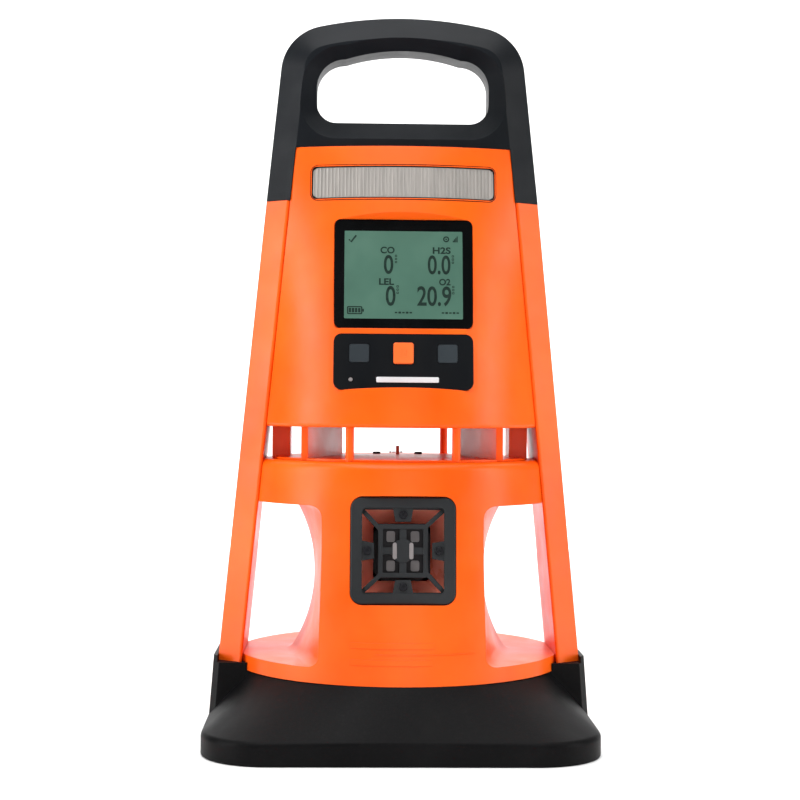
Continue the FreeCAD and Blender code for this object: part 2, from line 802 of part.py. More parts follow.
def handle_half():
    """The front half of the handle; the rear half mirrors it."""
    low, top = dim("rail_top"), dim("total_height")
    deep = 60.0
    block = Part.Face(arch_wire(0, 0)).extrude(Vector(0, -deep, 0))
    d0, d1 = rail_depth(low), dim("handle_depth_top")
    section = ((-d0, low), (-d1, top + 0.01), (-200, top + 0.01), (-200, low))
    lean = [Vector(-200, y, z) for y, z in section]
    block = block.cut(Part.Face(polygon_wire(lean)).extrude(Vector(400, 0, 0)))
    crease = edges_where(block, lambda p, e: p.y < -15 and p.z > low + 1)
    block = block.makeChamfer(dim("rail_facet"), dim("rail_thickness"), crease)
    shelf = dim("casing_top") + dim("fit_gap")
    x0, x1 = rail_inner(low) + 0.1, rail_inner(shelf) + 0.1
    notch = [Vector(-x0, 5, low - 1), Vector(x0, 5, low - 1), Vector(x1, 5, shelf), Vector(-x1, 5, shelf)]
    block = block.cut(Part.Face(polygon_wire(notch)).extrude(Vector(0, -80, 0)))
    flare = dim("grip_flare")
    hole = Part.Face(grip_wire(0, 5)).extrude(Vector(0, -60, 0))
    face = dim("handle_depth_top")
    mouth = Part.makeLoft([grip_wire(0, 9 - face), grip_wire(4 * flare, -face - 21)], True, True)
    return block.cut(hole).cut(mouth)


def build_handle():
    half = handle_half()
    screws = HANDLE_SCREWS
    rear = half.mirror(Vector(0, 0, 0), Vector(0, 1, 0))
    spots = []
    for spot in screws:
        y = rail_depth(spot.z) - 5
        rear = rear.cut(Part.makeCylinder(4.2, 30, Vector(spot.x, y, spot.z), Vector(0, 1, 0)))
        rear = rear.cut(Part.makeCylinder(1.9, 60, Vector(spot.x, 0, spot.z), Vector(0, 1, 0)))
        spots.append(facing(Vector(spot.x, y - 14, spot.z), Vector(0, 1, 0)))
    add_shape("handle_front_half", half)
    add_shape("handle_rear_half", rear)
    add_shape("handle_screws", screw_group(spots, 2.2, 14.0))


HANDLE_SCREWS = [Vector(sx * x, 0, z) for sx in (-1, 1) for x, z in ((50, 459), (88, 425))]


# ---------------------------------------------------------------- front panel


def bound_box(name, placement, length, width, height):
    """A Part::Box centred on its placement in X and Y; the sizes are sheet expressions."""
    box = DOC.addObject("Part::Box", name)
    bind(box, Length=length, Width=width, Height=height)
    half = Vector(-evaluate(length) / 2, -evaluate(width) / 2, 0)
    box.Placement = placement.multiply(Placement(half, Rotation()))
    return box


def bound_cylinder(name, placement, radius, height):
    rod = DOC.addObject("Part::Cylinder", name)
    bind(rod, Radius=radius, Height=height)
    rod.Placement = placement
    return rod


def body_at(body, label, placement):
    body.Placement = placement
    return keep(body, label)


def build_display():
    width, height = "Dims.display_width", "Dims.display_height"
    window = rounded_pad("window", width, height, "Dims.display_corner", "1.6")
    body_at(window, "display_window", panel_place(dim("display_level"), -1.7))
    gasket = rounded_pad("gasket", width + " - 1", height + " - 1", "4", "0.4")
    rounded_pocket(gasket, "gasket_hole", width + " - 7", height + " - 7", "2", "1", "0.4")
    body_at(gasket, "display_gasket", panel_place(dim("display_level"), -2.15))
    place = panel_place(dim("display_level"), -7.3)
    keep(bound_box("lcd", place, "Dims.lcd_width + 4", "Dims.lcd_height + 6", "5"), "lcd_module")


KEY_NAMES = ("button_left", "button_power", "button_right")


def key_size(label):
    """Width and height expressions of one key."""
    if label == "button_power":
        return "Dims.power_width", "Dims.power_width + 1.2"
    return "Dims.button_width", "Dims.button_height"


def key_place(index, offset=0.0):
    """Placement of one key's middle on the face of the keypad."""
    spot = Vector((index - 1) * dim("button_spacing"), dim("button_rise"), offset)
    return panel_place(dim("keypad_level")).multiply(Placement(spot, Rotation()))


def light_place(offset):
    spot = Vector(-dim("light_offset"), -dim("light_drop"), offset)
    return panel_place(dim("keypad_level")).multiply(Placement(spot, Rotation()))


def build_overlay():
    """The keypad's face plate with an opening for each key and for the status light."""
    body = rounded_pad("keypad", "Dims.keypad_width", "Dims.keypad_height", "Dims.keypad_corner", "1.9")
    body.Placement = panel_place(dim("keypad_level"), -2.1)
    gap = 0.5
    light = Part.makeCylinder(dim("light_radius") + 0.15, 6)
    light.Placement = light_place(-4)
    holes = [light]
    for index, label in enumerate(KEY_NAMES):
        width, height = (evaluate(text) + gap for text in key_size(label))
        holes.append(rounded_prism(width, height, 2, -3, 1, key_place(index)))
    tool = DOC.addObject("Part::Feature", "keypad_holes")
    tool.Shape = Part.makeCompound(holes)
    plate = DOC.addObject("Part::Cut", "overlay")
    plate.Base, plate.Tool = body, tool
    keep(plate, "keypad_overlay")


def build_key(index, label):
    """One key: a stem through the overlay with a rim that keeps it behind."""
    width, height = key_size(label)
    proud, edge = (1.2, 0.7) if label == "button_power" else (0.1, 0.2)
    stem = rounded_pad(label + "_stem", width, height, "1.8", f"3.4 + {proud}", "-3.4")
    rim = rounded_pad(label + "_rim", width + " + 2.4", height + " + 2.4", "2", "1", "-3.5")
    whole = DOC.addObject("Part::Fuse", label + "_whole")
    whole.Base, whole.Tool = stem, rim
    DOC.recompute()
    crown = [i for i, e in enumerate(whole.Shape.Edges, 1) if min(v.Z for v in e.Vertexes) > proud - 0.01]
    key = DOC.addObject("Part::Fillet", label + "_key")
    key.Base = whole
    key.Edges = [(i, edge, edge) for i in crown]
    key.Placement = key_place(index)
    keep(key, label)
    keep(bound_cylinder(label + "_dome", key_place(index, -7.2), "3", "2.4"), label + "_switch")


def build_keypad():
    build_overlay()
    for index, label in enumerate(KEY_NAMES):
        build_key(index, label)
    keep(bound_cylinder("light", light_place(-4), "Dims.light_radius", "3.85"), "status_light")
    place = panel_place(dim("keypad_level"), -8.8)
    board = bound_box("key_card", place, "Dims.keypad_width - 10", "28", "Dims.board")
    keep(board, "keypad_board")


# ---------------------------------------------------------------- beacons and horn


def beacon_lens():
    """Curved lens that follows the casing, with a flange behind its wall."""
    low, high = dim("beacon_level") - 28, dim("beacon_level") + 28
    width, height, corner = dim("beacon_width"), dim("beacon_height"), dim("beacon_corner")

    def layer(outside, inside, grow):
        bowl = casing_loft(low, high, outside).cut(casing_loft(low - 1, high + 1, inside))
        return bowl.common(rounded_prism(width + grow, height + grow, corner, -25, 25, beacon_place(-1)))

    return layer(0.8, 3.7, -0.6).fuse(layer(3.5, 4.7, 5)).removeSplitter()


def build_beacons():
    lens = beacon_lens()
    add_shape("front_beacon_lens", lens)
    add_shape("rear_beacon_lens", lens.mirror(Vector(0, 0, 0), Vector(0, 1, 0)))
    for side, label in ((-1, "front"), (1, "rear")):
        place = beacon_place(side, -22)
        width, height = "Dims.beacon_width - 24", "Dims.beacon_height - 8"
        strip = bound_box(label + "_strip", place, width, height, "Dims.board")
        keep(strip, label + "_beacon_board")


def horn_side_places(distance, offset):
    """The four mid-side points of the horn's frame."""
    made = []
    for quarter in range(4):
        turn = Placement(Vector(0, 0, offset), Rotation(Vector(0, 0, 1), 90 * quarter))
        turn = turn.multiply(Placement(Vector(0, distance, 0), Rotation()))
        made.append(horn_place().multiply(turn))
    return made


def horn_bezel():
    """Square frame with a boss at the middle of each side."""
    side, thick, bar = dim("bezel_side"), dim("bezel_thickness"), dim("bezel_bar")
    tall = side + dim("bezel_extra")
    frame = rounded_prism(side, tall, dim("bezel_corner"), 0, thick, Placement())
    rim = edges_where(frame, lambda p, e: p.z > thick - 0.01)
    frame = frame.makeFillet(1.6, rim)
    frame = frame.cut(rounded_prism(side - 2 * bar - 0.7, tall - 2 * bar, 3, -1, thick + 1, Placement()))
    reach, base = dim("horn_pitch") - 5, side / 2 - bar / 2
    for quarter in range(4):
        outline = ((-8, base), (8, base), (5.6, reach), (-5.6, reach))
        corners = [Vector(x, y, 0.2) for x, y in outline]
        boss = Part.Face(polygon_wire(corners)).extrude(Vector(0, 0, thick - 1.2))
        boss.rotate(Vector(0, 0, 0), Vector(0, 0, 1), 90 * quarter)
        frame = frame.fuse(boss)
    for quarter in range(4):
        hole = Part.makeCylinder(dim("screw_shank") + 0.1, 9, Vector(0, dim("horn_pitch"), -1))
        hole.rotate(Vector(0, 0, 0), Vector(0, 0, 1), 90 * quarter)
        frame = frame.cut(hole)
    return frame


def bar_between(start, end, width, low, high):
    """Straight rib between two points of the plane."""
    along = (end - start).normalize()
    across = Vector(-along.y, along.x, 0) * (width / 2)
    corners = [start + across, end + across, end - across, start - across]
    rib = Part.Face(polygon_wire(corners)).extrude(Vector(0, 0, high - low))
    rib.translate(Vector(0, 0, low))
    return rib


def horn_grille():
    """Guard of ribs: an inner square, diagonals to a frame behind the bezel, a cross and a hub."""
    inner, bar = dim("horn_inner"), 3.4
    outer = dim("bezel_side") - dim("bezel_bar") - 0.4
    low, back, high = -2.4, -0.1, 2.4
    ring = rounded_prism(outer, outer, 4, low, back, Placement())
    ring = ring.cut(rounded_prism(outer - 8, outer - 8, 2, low - 1, high, Placement()))
    tall = inner + 2.4
    square = rounded_prism(inner, tall, 2, low, high, Placement())
    hollow = rounded_prism(inner - 2 * bar, tall - 2 * bar, 1, low - 1, high + 1, Placement())
    square = square.cut(hollow)
    guard = ring.fuse(square)
    guard = guard.fuse(Part.makeCylinder(dim("hub_radius"), high - low, Vector(0, 0, low)))
    for quarter in range(4):
        turn = Rotation(Vector(0, 0, 1), 90 * quarter)
        near = turn.multVec(Vector(inner / 2 - 2, inner / 2 - 1, 0))
        far = turn.multVec(Vector(outer / 2 - 6.2, outer / 2 - 6, 0))
        guard = guard.fuse(bar_between(near, far, 3.2, low, high))
        corner = turn.multVec(Vector(outer / 2 - 2.5, outer / 2 - 2.5, 0))
        guard = guard.fuse(bar_between(near, corner, 3.2, low, back))
        side = turn.multVec(Vector(inner / 2 - 2, 0, 0))
        guard = guard.fuse(bar_between(Vector(0, 0, 0), side, 5.0, low, high - 0.6))
    for quarter in range(4):
        spot = Rotation(Vector(0, 0, 1), 90 * quarter).multVec(Vector(0, dim("horn_pitch"), low - 1))
        guard = guard.cut(Part.makeCylinder(dim("screw_shank") + 0.1, 9, spot))
    return guard.removeSplitter()


def horn_flare():
    """Square funnel from the guard back to the driver's mouth."""
    mouth, throat, depth = dim("bezel_side") - dim("bezel_bar") - 0.6, dim("driver_radius") * 2 - 8, 26
    start = -2.6
    end = start - depth
    outer = Part.makeLoft([square_wire(mouth, 5, start), square_wire(throat + 5, 5, end)], True, True)
    hollow = [square_wire(mouth - 4, 4, start + 0.1), square_wire(throat, 4, end - 0.1)]
    inner = Part.makeLoft(hollow, True, True)
    return outer.cut(inner)


def build_horn():
    add_shape("front_horn_bezel", horn_bezel(), horn_place())
    add_shape("front_horn_grille", horn_grille(), horn_place())
    add_shape("front_horn_flare", horn_flare(), horn_place())
    driver = DOC.addObject("Part::Fuse", "driver")
    driver.Base = bound_cylinder("driver_can", horn_place(-29.0 - 24), "Dims.driver_radius", "24")
    driver.Tool = bound_cylinder("driver_magnet", horn_place(-29.0 - 34), "Dims.driver_radius - 7", "10.5")
    keep(driver, "front_horn_driver")
    top = dim("bezel_thickness") - 1.0
    places = horn_side_places(dim("horn_pitch"), top - 8)
    for place, side in zip(places, ("top", "left", "bottom", "right")):
        add_shape(f"horn_screw_{side}", screw(1.6, 8.0), place)


# ---------------------------------------------------------------- inside


def build_sensors():
    low = dim("slot_top") + 0.2
    names = ("front_left", "front_right", "rear_left", "rear_right")
    for spot, name in zip(SENSOR_SPOTS, names):
        place = Placement(Vector(spot.x, spot.y, low), Rotation())
        cell = bound_cylinder(f"cell_{name}", place, "Dims.sensor_radius", "Dims.sensor_height")
        keep(cell, f"gas_sensor_{name}")
    top = Placement(Vector(0, 0, low + dim("sensor_height") + 0.1), Rotation())
    keep(bound_box("sensor_card", top, "104", "84", "Dims.board"), "sensor_board")
    floor = dim("slot_top") + dim("wall")
    posts = []
    for sx in (-1, 1):
        for sy in (-1, 1):
            height = top.Base.z - floor
            posts.append(Part.makeCylinder(3.2, height, Vector(sx * 46, sy * 36, floor)))
    add_shape("sensor_board_posts", Part.makeCompound(posts))


def build_main_board():
    """Board behind the display, on posts from the back of the panel's backing."""
    level = dim("display_level")
    back = -16.0
    place = panel_place(level, back - dim("board"))
    keep(bound_box("main_card", place, "120", "76", "Dims.board"), "main_board")
    posts = []
    for sx in (-1, 1):
        for sy in (-1, 1):
            post = Part.makeCylinder(1.6, -5.3 - back, Vector(sx * 48.2, sy * 28, back + 0.05))
            post.Placement = panel_place(level)
            posts.append(post)
    add_shape("main_board_posts", Part.makeCompound(posts))


def build_power():
    """Battery in its bracket behind the rear door, with the charging board above."""
    place = door_place(-8.0 - dim("battery_depth"))
    pack = bound_box("battery", place, "Dims.battery_width", "Dims.battery_height", "Dims.battery_depth")
    keep(pack, "battery_pack")
    width, height, depth = dim("battery_width"), dim("battery_height"), dim("battery_depth")
    thick, gap = 2.0, 0.3
    shell = box_between(
        Vector(-width / 2 - gap - thick, -height / 2 - gap - thick, -gap - thick),
        Vector(width / 2 + gap + thick, height / 2 + gap + thick, depth - 12),
    )
    shell = shell.cut(box_between(
        Vector(-width / 2 - gap, -height / 2 - gap, -gap),
        Vector(width / 2 + gap, height / 2 + gap, depth),
    ))
    add_shape("battery_bracket", shell, place)
    above = Vector(0, height / 2 + gap + thick + 0.1, depth / 2)
    lift = place.multiply(Placement(above, Rotation(Vector(1, 0, 0), -90)))
    length, across = "Dims.battery_width - 8", "Dims.battery_depth - 16"
    keep(bound_box("power_card", lift, length, across, "Dims.board"), "power_board")


# ---------------------------------------------------------------- rear


DOOR_CORNERS = {
    "lower_left": (-1, -1),
    "lower_right": (1, -1),
    "upper_left": (-1, 1),
    "upper_right": (1, 1),
}


def door_corner(name, offset):
    """Placement of one corner screw's axis, offset from the door's outer face."""
    sx, sy = DOOR_CORNERS[name]
    inset = dim("door_inset")
    spot = Vector(sx * (dim("door_width") / 2 - inset), sy * (dim("door_height") / 2 - inset), offset)
    return door_place().multiply(Placement(spot, Rotation()))


def door_screw_holes():
    holes = []
    for name in DOOR_CORNERS:
        hole = Part.makeCylinder(dim("screw_shank") + 0.1, 12)
        hole.Placement = door_corner(name, -9)
        holes.append(hole)
    return holes


def build_door():
    """Flat battery door on four screws."""
    plate = rounded_pad("door", "Dims.door_width", "Dims.door_height", "5.7", "2.4")
    plate.Placement = door_place(-2.5)
    tool = DOC.addObject("Part::Feature", "door_holes")
    tool.Shape = Part.makeCompound(door_screw_holes())
    door = DOC.addObject("Part::Cut", "door_plate")
    door.Base, door.Tool = plate, tool
    keep(door, "battery_door")
    for name in DOOR_CORNERS:
        add_shape(f"door_screw_{name}", screw(1.6, 4.8), door_corner(name, -4.9))


def jack_face():
    """Depth of the jack's outer face behind the middle of the assembly."""
    return front_depth(dim("jack_level")) + 1.8


def across_x(radius, length, y, z):
    """Cylinder along X, centred on the middle plane."""
    return Part.makeCylinder(radius, length, Vector(-length / 2, y, z), Vector(1, 0, 0))


def hinge_line():
    """Depth and level of the cap's hinge axis."""
    return jack_face() + 1.3, dim("jack_level") + dim("hinge_rise")


def build_jack():
    """Charging socket with a round flange and two ears for the cap's pin."""
    level, face, back = dim("jack_level"), jack_face(), Vector(0, 1, 0)
    length = dim("jack_length")
    flange = Part.makeCylinder(dim("jack_flange"), 1.6, Vector(0, face - 1.6, level), back)
    start = Vector(0, face - 1.6 - length, level)
    barrel = Part.makeCylinder(dim("jack_flange") - 3, length + 1, start, back)
    jack = flange.fuse(barrel)
    y, z = hinge_line()
    for side in (-1, 1):
        ear_block = box_between(Vector(-1, face - 1.6, level + 10.2), Vector(1, y, z))
        ear_block = ear_block.fuse(across_x(2.2, 2, y, z))
        ear_block.translate(Vector(side * 4.6, 0, 0))
        jack = jack.fuse(ear_block)
    jack = jack.cut(across_x(0.8, 16, y, z))
    bore = Part.makeCylinder(dim("jack_radius"), length + 1, Vector(0, face - length, level), back)
    jack = jack.cut(bore)
    add_shape("charge_jack", jack.removeSplitter())
    add_shape("port_cap_pin", across_x(0.78, 11.6, y, z))


def build_cap():
    """Rubber cap that lies flat over the socket, hung on the pin by its own knuckle."""
    level, face, back = dim("jack_level"), jack_face() + 0.2, Vector(0, 1, 0)
    y, z = hinge_line()
    disc = Part.makeCylinder(dim("cap_radius"), 2.2, Vector(0, face, level), back)
    disc = disc.makeFillet(0.8, edges_where(disc, lambda p, e: p.y > face + 2.1))
    strap = box_between(Vector(-3.2, face, level + 6), Vector(3.2, face + 2.2, z))
    knuckle = across_x(2.0, 6.4, y, z)
    foot = level - dim("cap_radius") - 2.4
    tab = box_between(Vector(-4, face + 0.6, foot), Vector(4, face + 2.2, level - 6))
    cap = disc.fuse(strap).fuse(knuckle).fuse(tab)
    cap = cap.cut(across_x(1.05, 10, y, z))
    add_shape("port_cap", cap.removeSplitter())


# ---------------------------------------------------------------- building and export


BUILDERS = (
    build_base,
    build_rails,
    build_lower_casing,
    build_vent_frame,
    build_upper_casing,
    build_handle,
    build_display,
    build_keypad,
    build_beacons,
    build_horn,
    build_sensors,
    build_main_board,
    build_power,
    build_door,
    build_jack,
    build_cap,
)


def check_document():
    """Stops the export when a feature failed or a sub-part is not a valid solid."""
    for obj in DOC.Objects:
        if "Invalid" in obj.State or "Error" in obj.State:
            raise RuntimeError(f"{obj.Name} did not recompute: {obj.State}")
    for obj in PARTS:
        shape = obj.Shape
        if shape.isNull() or not shape.isValid() or not shape.Solids:
            raise RuntimeError(f"{obj.Label} is not a valid solid")


def export_parts(folder="parts"):
    os.makedirs(folder, exist_ok=True)
    for obj in PARTS:
        obj.Shape.exportStep(os.path.join(folder, obj.Label + ".step"))


def main():
    fill_sheet()
    for builder in BUILDERS:
        builder()
    DOC.recompute()
    check_document()
    export_parts()
    print(f"{len(PARTS)} sub-parts written")


if __name__ == "__main__":
    main()
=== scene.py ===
import json
import math

import bmesh
import bpy
from mathutils import Matrix, Vector
from mathutils.bvhtree import BVHTree


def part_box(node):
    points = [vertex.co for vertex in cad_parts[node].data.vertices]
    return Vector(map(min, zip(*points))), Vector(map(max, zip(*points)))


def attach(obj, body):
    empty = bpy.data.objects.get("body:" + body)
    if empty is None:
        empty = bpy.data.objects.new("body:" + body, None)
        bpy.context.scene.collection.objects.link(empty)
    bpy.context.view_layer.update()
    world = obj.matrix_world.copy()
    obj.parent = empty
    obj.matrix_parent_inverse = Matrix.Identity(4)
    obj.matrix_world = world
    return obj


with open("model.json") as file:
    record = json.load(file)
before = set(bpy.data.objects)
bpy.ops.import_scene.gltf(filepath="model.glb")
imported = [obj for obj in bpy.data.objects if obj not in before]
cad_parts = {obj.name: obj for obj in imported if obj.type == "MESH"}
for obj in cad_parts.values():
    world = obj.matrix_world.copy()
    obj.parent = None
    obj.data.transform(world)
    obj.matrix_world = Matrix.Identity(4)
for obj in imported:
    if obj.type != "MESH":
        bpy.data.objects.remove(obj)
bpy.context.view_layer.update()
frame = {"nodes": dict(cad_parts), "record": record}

NODES = frame["nodes"]
MM = 0.001
HOUSING = "housing"
FRONT, REAR = -1, 1

# ---------------------------------------------------------------- measures (millimetres and degrees)

PANEL_TILT = 13.2
HORN_TILT = 7.0
WINDOW_THICKNESS, OVERLAY_THICKNESS = 1.6, 1.9
BEZEL_THICKNESS, DOOR_THICKNESS = 5.0, 2.4
LCD_WIDTH, LCD_HEIGHT, LCD_CORNER, LCD_SHIFT = 88.0, 68.0, 0.8, -0.9
BEACON_WIDTH, BEACON_HEIGHT, BEACON_LEVEL = 138.5, 25.0, 419.9
RIB_PITCH, BEACON_RIBS = 2.7, 51
KEY_RISE = 6.4
LIGHT_SPOT = (-38.8, -13.6)
NAME_BAR_SPOT = (3, -13.6)
CORNER_STEPS = 6  # straight pieces in a rounded corner
SIDE_PIECES = 24  # pieces in each side of a draped outline

# ---------------------------------------------------------------- node materials


def srgb(red, green, blue):
    """Linear colour of a display colour given from 0 to 255."""

    def linear(value):
        value /= 255
        return value / 12.92 if value <= 0.04045 else ((value + 0.055) / 1.055) ** 2.4

    return (linear(red), linear(green), linear(blue), 1.0)


# Places of the colour sockets of a Mix node: factor, first and second colour, then the result.
MIX_INPUTS, MIX_RESULT = (0, 6, 7), 2


class Finish:
    """A Principled material whose colour, roughness and relief come from procedural nodes."""

    def __init__(self, name, **sockets):
        self.data = bpy.data.materials.new(name)
        self.data.use_nodes = True
        self.tree = self.data.node_tree
        self.shader = self.tree.nodes["Principled BSDF"]
        self.place = self.tree.nodes.new("ShaderNodeTexCoord").outputs["Object"]
        self.relief = None
        for key, value in sockets.items():
            self.shader.inputs[key.replace("_", " ")].default_value = value

    def link(self, source, target):
        self.tree.links.new(source, target)

    def noise(self, scale, detail=3.0, roughness=0.55, stretch=None):
        """Noise in the row frame; scale is in cells a metre."""
        node = self.tree.nodes.new("ShaderNodeTexNoise")
        node.inputs["Scale"].default_value = scale
        node.inputs["Detail"].default_value = detail
        node.inputs["Roughness"].default_value = roughness
        self.link(self.stretched(stretch), node.inputs["Vector"])
        return node.outputs["Fac"]

    def stretched(self, stretch):
        if stretch is None:
            return self.place
        node = self.tree.nodes.new("ShaderNodeMapping")
        node.inputs["Scale"].default_value = stretch
        self.link(self.place, node.inputs["Vector"])
        return node.outputs["Vector"]

    def grains(self, scale):
        """Rounded cells, as on a spark-eroded mould."""
        node = self.tree.nodes.new("ShaderNodeTexVoronoi")
        node.inputs["Scale"].default_value = scale
        self.link(self.place, node.inputs["Vector"])
        return node.outputs["Distance"]

    def lines(self, pitch, axis="X"):
        """Parallel bands, pitch in metres."""
        node = self.tree.nodes.new("ShaderNodeTexWave")
        node.bands_direction = axis
        node.inputs["Scale"].default_value = math.pi / (10 * pitch)
        node.inputs["Distortion"].default_value = 0.0
        self.link(self.place, node.inputs["Vector"])
        return node.outputs["Fac"]

    def ramp(self, source, *stops):
        """Colours at positions along the source value."""
        node = self.tree.nodes.new("ShaderNodeValToRGB")
        bands = node.color_ramp.elements
        for index, (position, colour) in enumerate(stops):
            band = bands[index] if index < 2 else bands.new(position)
            band.position = position
            band.color = colour
        self.link(source, node.inputs["Fac"])
        return node.outputs["Color"]

    def span(self, source, low, high, start=0.3, end=0.7):
        """The source value brought from start..end to low..high."""
        node = self.tree.nodes.new("ShaderNodeMapRange")
        for key, value in (("From Min", start), ("From Max", end), ("To Min", low), ("To Max", high)):
            node.inputs[key].default_value = value
        self.link(source, node.inputs["Value"])
        return node.outputs["Result"]

    def blend(self, factor, first, second, mode="MIX"):
        """Mix of two colours; each input is a socket or a value."""
        node = self.tree.nodes.new("ShaderNodeMix")
        node.data_type = "RGBA"
        node.blend_type = mode
        for source, socket in zip((factor, first, second), MIX_INPUTS):
            if isinstance(source, bpy.types.NodeSocket):
                self.link(source, node.inputs[socket])
            else:
                node.inputs[socket].default_value = source
        return node.outputs[MIX_RESULT]

    def colour(self, source):
        self.link(source, self.shader.inputs["Base Color"])

    def rough(self, source, low, high):
        self.link(self.span(source, low, high), self.shader.inputs["Roughness"])

    def soften(self, radius):
        """Rounds off sharp edges in the shading."""
        node = self.tree.nodes.new("ShaderNodeBevel")
        node.samples = 4
        node.inputs["Radius"].default_value = radius
        self.relief = node.outputs["Normal"]
        self.link(self.relief, self.shader.inputs["Normal"])

    def bump(self, source, strength, depth):
        node = self.tree.nodes.new("ShaderNodeBump")
        node.inputs["Strength"].default_value = strength
        node.inputs["Distance"].default_value = depth
        self.link(source, node.inputs["Height"])
        if self.relief is not None:
            self.link(self.relief, node.inputs["Normal"])
        self.relief = node.outputs["Normal"]
        self.link(self.relief, self.shader.inputs["Normal"])


def moulded(name, deep, base, pale, roughness, gloss=0.2, edge=0.0006):
    """Moulded plastic: broad mottling, fine flow streaks, a pebbled skin and rubbed-pale specks."""
    finish = Finish(name, Specular_IOR_Level=gloss)
    broad = finish.ramp(finish.noise(9, 4), (0.32, deep), (0.5, base), (0.72, pale))
    streaks = finish.noise(60, 5, 0.6, (1.0, 1.0, 0.18))
    tinted = finish.blend(finish.span(streaks, 0.0, 0.16), broad, pale)
    scuffs = finish.span(finish.noise(230, 6, 0.7), 0.0, 0.35, 0.66, 0.8)
    finish.colour(finish.blend(scuffs, tinted, pale))
    finish.rough(finish.noise(35, 4), roughness - 0.05, roughness + 0.07)
    finish.soften(edge)
    finish.bump(finish.grains(1400), 0.25, 0.00012)
    finish.bump(finish.noise(25, 2), 0.12, 0.0012)
    return finish.data


def rubber(name, deep, base, pale, roughness):
    """Moulded rubber with a dusty, slightly uneven skin."""
    finish = Finish(name, Specular_IOR_Level=0.07)
    dust = finish.noise(14, 5, 0.62)
    fine = finish.noise(420, 4, 0.6)
    broad = finish.ramp(dust, (0.35, deep), (0.55, base), (0.78, pale))
    finish.colour(finish.blend(finish.span(fine, 0.0, 0.3, 0.5, 0.75), broad, pale))
    finish.rough(dust, roughness - 0.06, roughness + 0.1)
    finish.soften(0.001)
    finish.bump(finish.grains(900), 0.3, 0.00015)
    return finish.data


def glossy_black(name, base, roughness):
    """Smooth printed black with faint wiping marks."""
    finish = Finish(name, Specular_IOR_Level=0.12)
    smear = finish.noise(30, 5, 0.6, (1.0, 1.0, 0.35))
    finish.colour(finish.ramp(smear, (0.3, base), (0.8, srgb(12, 13, 15))))
    finish.rough(smear, roughness, roughness + 0.1)
    finish.bump(finish.noise(1500, 2), 0.03, 0.00005)
    return finish.data


def lcd_glass():
    """Reflective liquid crystal: faintly mottled grey-green with a fine cell grid."""
    finish = Finish("lcd_green", Roughness=0.3, Specular_IOR_Level=0.12)
    greens = (0.3, srgb(66, 98, 85)), (0.55, srgb(73, 106, 92)), (0.75, srgb(82, 114, 100))
    tone = finish.ramp(finish.noise(18, 3), *greens)
    grid = finish.blend(0.5, finish.lines(0.0007, "X"), finish.lines(0.0007, "Z"), "MULTIPLY")
    cells = finish.ramp(grid, (0.0, (0.93, 0.93, 0.93, 1.0)), (0.6, (1.0, 1.0, 1.0, 1.0)))
    finish.colour(finish.blend(1.0, tone, cells, "MULTIPLY"))
    return finish.data


def lcd_ink():
    """Dark segments of the liquid crystal."""
    finish = Finish("lcd_ink", Roughness=0.4, Specular_IOR_Level=0.1)
    finish.colour(finish.ramp(finish.noise(300, 2), (0.3, srgb(22, 36, 32)), (0.7, srgb(32, 48, 42))))
    return finish.data


def ribbed_lens():
    """Milky moulded lens: warm grey with fine vertical draw marks."""
    finish = Finish("beacon_milky", Specular_IOR_Level=0.25)
    marks = finish.noise(55, 4, 0.6, (4.0, 1.0, 0.25))
    greys = (0.3, srgb(134, 130, 125)), (0.55, srgb(148, 143, 138)), (0.8, srgb(162, 157, 151))
    finish.colour(finish.ramp(marks, *greys))
    finish.rough(marks, 0.26, 0.4)
    finish.bump(finish.noise(700, 3), 0.08, 0.0001)
    return finish.data


def metal(name, base, pale, roughness):
    """Brushed metal."""
    finish = Finish(name, Metallic=1.0)
    brush = finish.noise(900, 4, 0.7, (1.0, 6.0, 1.0))
    finish.colour(finish.ramp(brush, (0.3, base), (0.75, pale)))
    finish.rough(brush, roughness - 0.06, roughness + 0.12)
    finish.soften(0.0003)
    finish.bump(brush, 0.08, 0.00005)
    return finish.data


def board_green():
    """Solder mask with tracks that show through."""
    finish = Finish("board_green", Roughness=0.35, Coat_Weight=0.4, Coat_Roughness=0.15)
    tracks = finish.noise(400, 2, 0.5, (1.0, 0.2, 1.0))
    finish.colour(finish.ramp(tracks, (0.45, srgb(10, 60, 34)), (0.55, srgb(24, 92, 52))))
    finish.bump(tracks, 0.15, 0.0001)
    return finish.data


ORANGE = moulded("orange_plastic", srgb(232, 80, 4), srgb(246, 90, 7), srgb(252, 102, 16), 0.34, gloss=0.24)
CHARCOAL = moulded("charcoal_plastic", srgb(13, 16, 19), srgb(17, 20, 24), srgb(25, 28, 32), 0.4, gloss=0.1)
BLACK = moulded("black_plastic", srgb(26, 28, 30), srgb(34, 36, 38), srgb(48, 50, 52), 0.42)
INNER = moulded("inner_plastic", srgb(30, 30, 32), srgb(42, 42, 44), srgb(60, 60, 62), 0.5)
KEY_GREY = moulded(
    "key_grey", srgb(42, 47, 51), srgb(48, 54, 58), srgb(57, 62, 67), 0.45, gloss=0.1, edge=0.0003
)
KEY_ORANGE = moulded(
    "key_orange", srgb(246, 100, 38), srgb(250, 108, 46), srgb(252, 120, 60), 0.4, edge=0.0003
)
# Painted light: the horn funnel's orange is lightened to salmon and pinkish white, a painted highlight
# standing for light inside the shaded horn.
FUNNEL_PAINTED_LIGHT = moulded("funnel_orange_painted_highlight", srgb(236, 118, 94), srgb(248, 146, 122), srgb(252, 206, 190), 0.3)
